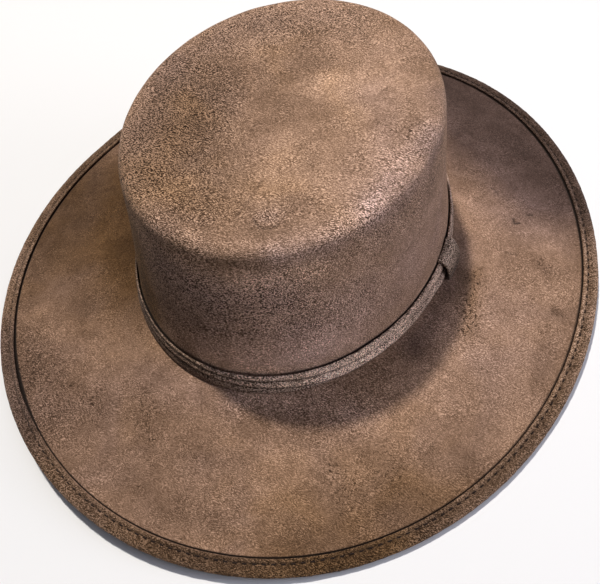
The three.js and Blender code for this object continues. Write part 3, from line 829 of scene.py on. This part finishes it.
# Paler along the raised inner edge, with painted shade in the valley between it and the outer fold, both most
# of all at the wearer's left, and paler at the outer fold
at_left = near_angle(binding, -5, 50)
edge_strip = np.exp(-(((into - 7.3) / 0.8) ** 2)) * (0.05 + 0.4 * at_left)
valley = np.exp(-(((into - 4.4) / 1.6) ** 2)) * (0.2 + 0.3 * at_left)
outer_fold = 0.4 * np.clip((1.6 - into) / 1.6, 0, 1)
paint_nap_and_light(binding, BINDING_NAP_AND_LIGHT, tone=edge_strip - valley + outer_fold, warm=-0.2, coarse=0.15)
# Painted shade along the stitch row, where the strip is drawn down
paint(binding, "painted_shade", 0.3 * np.exp(-(((into - STITCH_ROW) / 0.5) ** 2)))
binding.data.materials.append(suede("binding_suede", BINDING_BROWN, grain=1.3, shift=5.0))
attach(binding, "root")
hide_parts("brim_binding")

# Stitches of the binding. Dark twisted thread, a short stitch and a short space all round, seen on the
# top and on the underside, with both ends of each stitch going down into the suede.
THREAD = 0.8 * MM
THREAD_FLATNESS = 0.7  # how thick it is one way, as a share of the other
STITCH_LENGTH = 2.3 * MM
STITCH_SINK = {"angle": 205, "spread": 48, "depth": 0.45 * MM}  # the nap hides the stitches here
THREAD_TURN = 40  # degrees of twist from one ring of the thread to the next
THREAD_BROWN = (0.02, 0.012, 0.009)
STITCH_ABOVE = 0.98 * MM  # from the brim's top face
STITCH_BELOW = -2.7 * MM
# Along the stitch as a share of its length, and how high the thread lies there in millimetres
STITCH_ARCH = [
    {"along": -0.5, "up": -0.55},
    {"along": -0.42, "up": -0.15},
    {"along": -0.28, "up": 0.12},
    {"along": -0.1, "up": 0.2},
    {"along": 0.1, "up": 0.2},
    {"along": 0.28, "up": 0.12},
    {"along": 0.42, "up": -0.15},
    {"along": 0.5, "up": -0.55},
]
arch = [Vector((point["along"] * STITCH_LENGTH, 0, point["up"] * MM)) for point in STITCH_ARCH]
bpy.ops.object.select_all(action="DESELECT")
quarter_turn = (0, math.pi / 2, 0)
bpy.ops.mesh.primitive_circle_add(vertices=8, radius=THREAD / 2, location=arch[0], rotation=quarter_turn)
stitch = bpy.context.active_object
bpy.ops.object.transform_apply(location=True, rotation=True, scale=True)
bpy.ops.object.mode_set(mode="EDIT")
bpy.ops.mesh.select_all(action="SELECT")
bpy.ops.transform.resize(value=(1, THREAD_FLATNESS, 1), center_override=arch[0])
for before, after in zip(arch, arch[1:]):
    bpy.ops.mesh.extrude_region_move(TRANSFORM_OT_translate={"value": after - before})
    bpy.ops.transform.rotate(value=math.radians(THREAD_TURN), orient_axis="X", center_override=after)
bpy.ops.mesh.select_all(action="SELECT")
bpy.ops.mesh.fill_holes(sides=8)
face_outwards()
bpy.ops.object.shade_smooth()
row_oval = drawn_in(OUTLINE, STITCH_ROW * MM)
for number in range(STITCHES):
    angle = 2 * math.pi * number / STITCHES
    half_width, half_length = row_oval["half_width"], row_oval["half_length"]
    along = Vector((-half_width * math.sin(angle), half_length * math.cos(angle), 0)).normalized()
    middle = Vector((half_width * math.cos(angle), half_length * math.sin(angle), 0))
    off = ((math.degrees(angle) - STITCH_SINK["angle"] + 180) % 360 - 180) / STITCH_SINK["spread"]
    sink = STITCH_SINK["depth"] * math.exp(-(off**2))
    for up, side in ((STITCH_ABOVE - sink, 1), (STITCH_BELOW, -1)):
        copy = stitch.copy()
        copy.data = stitch.data.copy()
        bpy.context.collection.objects.link(copy)
        across = Vector((0, 0, side)).cross(along)
        turn = Matrix((along, across, (0, 0, side))).transposed().to_4x4()
        copy.matrix_world = Matrix.Translation(middle + Vector((0, 0, edge_height(angle) + up))) @ turn
        copy.select_set(True)
stitch.select_set(False)
bpy.context.view_layer.objects.active = bpy.context.selected_objects[0]
bpy.ops.object.join()
stitches = bpy.context.active_object
stitches.name = stitches.data.name = "binding_stitches"
bpy.ops.object.transform_apply(location=True, rotation=True, scale=True)
bpy.data.objects.remove(stitch)


def thread(name, colour):
    """Spun thread: dull, with darker and paler fibres."""
    material, shader = new_material(name)
    nodes, links = material.node_tree.nodes, material.node_tree.links
    shader.inputs["Roughness"].default_value = 0.85
    shader.inputs["Specular IOR Level"].default_value = 0.2
    place = nodes.new("ShaderNodeTexCoord").outputs["Object"]
    fibres = nodes.new("ShaderNodeTexNoise")
    fibres.inputs["Scale"].default_value = 3000
    fibres.inputs["Detail"].default_value = 2
    links.new(place, fibres.inputs["Vector"])
    ramp = nodes.new("ShaderNodeValToRGB")
    ramp.color_ramp.elements[0].color = (*(part * 0.4 for part in colour), 1)
    ramp.color_ramp.elements[1].color = (*(part * 1.7 for part in colour), 1)
    links.new(fibres.outputs["Fac"], ramp.inputs["Fac"])
    links.new(ramp.outputs["Color"], shader.inputs["Base Color"])
    bump = nodes.new("ShaderNodeBump")
    bump.inputs["Strength"].default_value = 0.4
    bump.inputs["Distance"].default_value = 0.1 * MM
    links.new(fibres.outputs["Fac"], bump.inputs["Height"])
    links.new(bump.outputs["Normal"], shader.inputs["Normal"])
    return material


stitches.data.materials.append(thread("brown_thread", THREAD_BROWN))
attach(stitches, "root")

# Hat band. A narrow strip of the suede laid in three folds, one above the other, round the foot of the
# crown. The folds are pulled flat at the wearer's right, looser in front, and fullest by the keeper.
BAND_AROUND = 256  # faces round the hat before it is smoothed
BAND_ROWS = 34  # from the foot to the top edge
BAND_HEIGHT = 10.4  # millimetres above the brim
BAND_FOOT = 0.3  # the band's lower edge, in millimetres above the brim
BAND_STRIP = 1.0  # how thick the folds are where they are pulled flat, in millimetres
BAND_STANDS_OFF = 0.8  # from the crown's wall, along the top edge
BRIM_REACH = 70.0  # millimetres from the crown out to where the brim has come down
# Heights of the two grooves between the folds above the brim in millimetres, by angle in degrees round the
# hat from the wearer's left towards the back. The lower groove runs out at the foot in front
BAND_GROOVES = [
    {0: 0.2, 60: 3.5, 200: 4.0, 235: 5.6, 262: 5.3, 270: 4.8, 282: 3.8, 296: 2.0, 308: 0.2, 360: 0.2},
    {0: 5.0, 60: 7.0, 200: 7.5, 235: 9.2, 257: 8.8, 269: 8.0, 289: 7.7, 305: 6.2, 320: 5.2, 360: 5.0},
]
GROOVE_HALF_WIDTH = 0.75  # of the dark line in each groove, in millimetres
BAND_FOLD_OUT = [2.2, 2.2, 1.4]  # how far each full fold stands out, from the lowest up
# How full the folds are, by the same angle
BAND_FULLNESS = {
    0: 0.3, 60: 0.3, 150: 0.3, 195: 0.1, 225: 0.25, 245: 0.4,
    275: 0.45, 320: 0.42, 346: 0.6, 350: 1.0, 354: 0.85, 360: 0.3,
}
# Paler than the crown's suede: the band's brown with painted light in it
BAND_BROWN_AND_PAINTED_LIGHT = (0.34, 0.231, 0.165)
BAND_WAVES = {"size": 0.004, "depth": 0.3 * MM}
# Painted light and shade on the band, and ruffled nap: painted shade at the wearer's right and right front
# and beside the keeper, painted light in front towards the keeper, and a ruffled line of nap in front
BAND_NAP_AND_LIGHT = [
    nap_and_light_streak((-86, -20, 27), (-70, -66, 27), (-42, -94, 27), (-24, -102, 27), reach=16, tone=-1.1),
    nap_and_light_streak((22, -106, 27), (40, -99, 27), (66, -73, 27), reach=13, tone=0.35),
    nap_and_light_streak((-91, 10, 27), (-89, -20, 27), (-80, -50, 27), reach=12, tone=-2.2),
    nap_and_light_streak((89, -30, 27), (91, -10, 27), reach=12, tone=-0.3),
    nap_and_light_streak((82, -44, 24), (86, -34, 24), reach=7, tone=-0.5),
    nap_and_light_streak((22, -108, 27), (44, -98.5, 27), (66, -78, 27), (80, -54, 27), (88, -28, 27),
           reach=2.0, tone=-0.5, ruffled=1.8),
    nap_and_light_streak((44, -96, 28), (68, -70, 28), (86, -34, 25), reach=9, tone=0.35),
    nap_and_light_streak((-56, -82, 31), (-44, -90, 31), reach=5, tone=-0.3),
]


def by_angle(table, degrees):
    """What a table by angle says at some degrees, in straight steps from one row to the next."""
    return np.interp(degrees, list(table), list(table.values()))


def band_stands(up, angle):
    """How far the band's face stands out from the crown at a height and angle, in millimetres."""
    degrees = math.degrees(angle) % 360
    fullness = by_angle(BAND_FULLNESS, degrees)
    edges = [0.0]
    edges.extend(by_angle(groove, degrees) for groove in BAND_GROOVES)
    edges.append(BAND_HEIGHT + 0.2)
    stands = 0
    # Each fold bulges in a half round, and the lower it lies the further it leans out
    for low, high, out in zip(edges, edges[1:], BAND_FOLD_OUT):
        if low <= up <= high:
            half = (high - low) / 2
            bulge = math.sqrt(max(1 - ((up - low - half) / half) ** 2, 0)) * min(half / 1.5, 1)
            lean = (1 - up / BAND_HEIGHT) * 0.6
            stands = max(stands, bulge * out + lean)
    return BAND_STRIP * (0.6 + 0.4 * min(fullness * 2, 1)) + fullness * stands


def foot_height(up, out):
    """Height above the table by angle. What lies low and far out follows the brim's fall."""
    follows = max(1 - up / BAND_HEIGHT, 0) * out / BRIM_REACH

    def height(angle):
        return HEAD_LINE_HEIGHT + up * MM - (HEAD_LINE_HEIGHT - edge_height(angle)) * follows

    return height


band_points = []
for row in range(BAND_ROWS + 1):
    up = BAND_FOOT + (BAND_HEIGHT - BAND_FOOT) * row / BAND_ROWS
    band_points.append((up, lambda angle, up=up: band_stands(up, angle) * MM))
band_points.append((BAND_HEIGHT + 0.05, lambda angle: 0.6 * MM))
band_points.extend((up, None) for up in (BAND_HEIGHT - 0.2, 7.0, 3.5, BAND_FOOT))
band = None
for up, stands_out in band_points:
    oval = drawn_in(crown_oval(HEAD_LINE_HEIGHT + up * MM), -BAND_STANDS_OFF * MM)
    if band:
        draw_out(ring, oval)
    else:
        band = start_ring("suede_band", BAND_AROUND, oval)
    shape_ring(band, oval, foot_height(up, 3.0), stands_out)
    ring = oval
close_tube()
smooth(band, 1)
add_waves(band, **BAND_WAVES)
points = read_places(band)
across, along = points[:, 0] / CROWN_FOOT["half_width"], points[:, 1] / CROWN_FOOT["half_length"]
round_band = np.degrees(np.arctan2(along, across)) % 360
up = points[:, 2] - HEAD_LINE_HEIGHT / MM
# Painted shade: dark lines in the grooves between the folds, and the lowest fold darker below the lower
# groove
in_groove = np.zeros(len(points))
for groove in BAND_GROOVES:
    off = (up - by_angle(groove, round_band)) / GROOVE_HALF_WIDTH
    in_groove = np.maximum(in_groove, np.exp(-(off**2)))
in_shade = np.clip(by_angle(BAND_GROOVES[0], round_band) - up, 0, 1) * (0.7 - 0.4 * near_angle(band, 340, 30))
in_groove *= 1 - 0.75 * near_angle(band, 335, 24)  # the folds lie open in front of the keeper
paint_nap_and_light(band, BAND_NAP_AND_LIGHT, tone=0.05 - 1.2 * in_groove - in_shade, warm=-0.05, coarse=0.6)
paint(band, "painted_shade", 0.6 * in_groove**2)
band.data.materials.append(suede("band_suede", BAND_BROWN_AND_PAINTED_LIGHT, grain=1.2, shift=7.0))
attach(band, "root")
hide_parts("hat_band")

# Keeper. A tab of suede wrapped over the band's join at the wearer's left, from the crown out over the
# folds and down to the brim. It bulges, ends slantwise at the back, and gapes at its front end where the
# band goes in.
KEEPER_STRIP = 1.2 * MM
KEEPER_ACROSS = 14  # faces over the folds
KEEPER_ALONG = 16  # faces from front to back
KEEPER_FRONT = -7.8  # degrees round the hat
KEEPER_REAR = 4.4  # degrees, by the brim
KEEPER_SLANT = 3.0  # by how many degrees the rear end is further forward at the crown
KEEPER_BROWN = (0.225, 0.155, 0.11)
KEEPER_WAVES = {"size": 0.004, "depth": 0.35 * MM}
# How far out its outer face reaches, by angle in degrees
KEEPER_REACH = {-7.8: 7.1, -5: 7.8, -2.3: 8.3, 0: 8.6, 1.7: 8.1, 3.1: 6.6, 4.4: 4.9}
# Its section from the brim up and over to the crown: share of the reach, and millimetres above the brim
KEEPER_SECTION = [
    {"share": 0.96, "up": 0.3},
    {"share": 1.0, "up": 2.6},
    {"share": 1.0, "up": 5.6},
    {"share": 0.85, "up": 9.2},
    {"share": 0.5, "up": 10.8},
    {"share": 0.1, "up": 10.8},
]
# Painted shade low on the keeper's outer face by the brim, and painted light at its top by the crown, both
# with ruffled nap
KEEPER_NAP_AND_LIGHT = [
    nap_and_light_streak((95, 2, 23), (95, -4, 23), (92, -12, 23), reach=4.5, tone=-0.8, ruffled=0.6),
    nap_and_light_streak((86, -11, 31), (89, 2, 32), reach=6, tone=0.2, ruffled=0.7),
]
bpy.ops.object.select_all(action="DESELECT")
bpy.ops.mesh.primitive_grid_add(x_subdivisions=KEEPER_ALONG, y_subdivisions=KEEPER_ACROSS, size=1)
keeper = bpy.context.active_object
keeper.name = keeper.data.name = "suede_keeper"
bpy.ops.object.mode_set(mode="EDIT")
mesh = bmesh.from_edit_mesh(keeper.data)
for vertex in mesh.verts:
    along, over = vertex.co.x + 0.5, vertex.co.y + 0.5
    rear = KEEPER_REAR - KEEPER_SLANT * over
    degrees = KEEPER_FRONT + (rear - KEEPER_FRONT) * along
    reach = by_angle(KEEPER_REACH, degrees + KEEPER_SLANT * over * along**3)
    station = over * (len(KEEPER_SECTION) - 1)
    steps = range(len(KEEPER_SECTION))
    up = np.interp(station, steps, [row["up"] for row in KEEPER_SECTION])
    share_out = np.interp(station, steps, [row["share"] for row in KEEPER_SECTION])
    out = share_out * (reach - KEEPER_STRIP / MM)
    angle = math.radians(degrees)
    oval = drawn_in(crown_oval(HEAD_LINE_HEIGHT + up * MM), -out * MM)
    vertex.co.x = oval["x"] + oval["half_width"] * math.cos(angle)
    vertex.co.y = oval["y"] + oval["half_length"] * math.sin(angle)
    vertex.co.z = foot_height(up, out)(angle)
bmesh.update_edit_mesh(keeper.data)
bpy.ops.object.mode_set(mode="OBJECT")
thicken(keeper, KEEPER_STRIP, offset=1)
smooth(keeper, 2)
add_waves(keeper, **KEEPER_WAVES)
# Painted shade on the keeper's outer part
outwards = np.clip((read_places(keeper)[:, 0] - 89.5) / 4, 0, 1)  # darker the further from the crown
paint_nap_and_light(keeper, KEEPER_NAP_AND_LIGHT, tone=-0.8 * outwards, warm=0.1, coarse=0.9)
keeper.data.materials.append(suede("keeper_suede", KEEPER_BROWN, grain=1.2, shift=9.0))
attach(keeper, "root")
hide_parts("band_keeper")

# Table, light and camera. The table and the lights are a plain pale stage; the camera looks at the hat
# from the front left and above, close to it and a little turned, as in the photograph.
TABLE_SIZE = 6.0
TABLE_PALE = (0.82, 0.82, 0.82, 1)
KEY_LIGHT = {
    "azimuth": 134.0, "elevation": 69.0, "distance": 2.4,
    "size": 0.12, "power": 55.0, "colour": (1, 0.955, 0.89),
}
FILL_LIGHT = {
    "azimuth": 5.0, "elevation": 20.0, "distance": 1.1,
    "size": 0.6, "power": 4.0, "colour": (0.9, 0.91, 1.07),
}
TOP_LIGHT = {
    "azimuth": 10.0, "elevation": 72.0, "distance": 1.8,
    "size": 1.5, "power": 8.0, "colour": (0.87, 0.91, 1.07),
}
SKY = (0.05, 0.051, 0.059)
CAMERA_PLACE = Vector((105.84, -219.03, 308.77)) * MM
CAMERA_AIM = Vector((11.06, -28.70, 0.0)) * MM
CAMERA_ROLL = -9.13  # degrees
CAMERA_LENS = 39.0  # for a sensor 36 mm wide

bpy.ops.object.select_all(action="DESELECT")
bpy.ops.mesh.primitive_plane_add(size=TABLE_SIZE)
table = bpy.context.active_object
table.name = "table"
pale, shader = new_material("pale_table")
shader.inputs["Base Color"].default_value = TABLE_PALE
shader.inputs["Roughness"].default_value = 0.9
table.data.materials.append(pale)


def hang_light(name, light):
    """A soft square light at an angle round and above the hat, turned towards it."""
    azimuth, elevation = math.radians(light["azimuth"]), math.radians(light["elevation"])
    flat = math.cos(elevation)
    towards = Vector((flat * math.cos(azimuth), flat * math.sin(azimuth), math.sin(elevation)))
    bpy.ops.object.light_add(type="AREA", location=towards * light["distance"])
    lamp = bpy.context.active_object
    lamp.name = name
    lamp.rotation_euler = towards.to_track_quat("Z", "Y").to_euler()
    lamp.visible_camera = False
    lamp.data.size = light["size"]
    lamp.data.energy = light["power"]
    lamp.data.color = light["colour"]


hang_light("key_light", KEY_LIGHT)
hang_light("fill_light", FILL_LIGHT)
hang_light("top_light", TOP_LIGHT)
world = bpy.data.worlds.new("studio")
world.use_nodes = True
world.node_tree.nodes["Background"].inputs["Color"].default_value = (*SKY, 1)
bpy.context.scene.world = world
bpy.context.scene.view_settings.view_transform = "Standard"
bpy.ops.object.camera_add(location=CAMERA_PLACE)
camera = bpy.context.active_object
camera.rotation_euler = (CAMERA_PLACE - CAMERA_AIM).to_track_quat("Z", "Y").to_euler()
camera.rotation_euler.rotate_axis("Z", math.radians(CAMERA_ROLL))
camera.data.lens = CAMERA_LENS
camera.data.clip_start = 0.01
bpy.context.scene.camera = camera
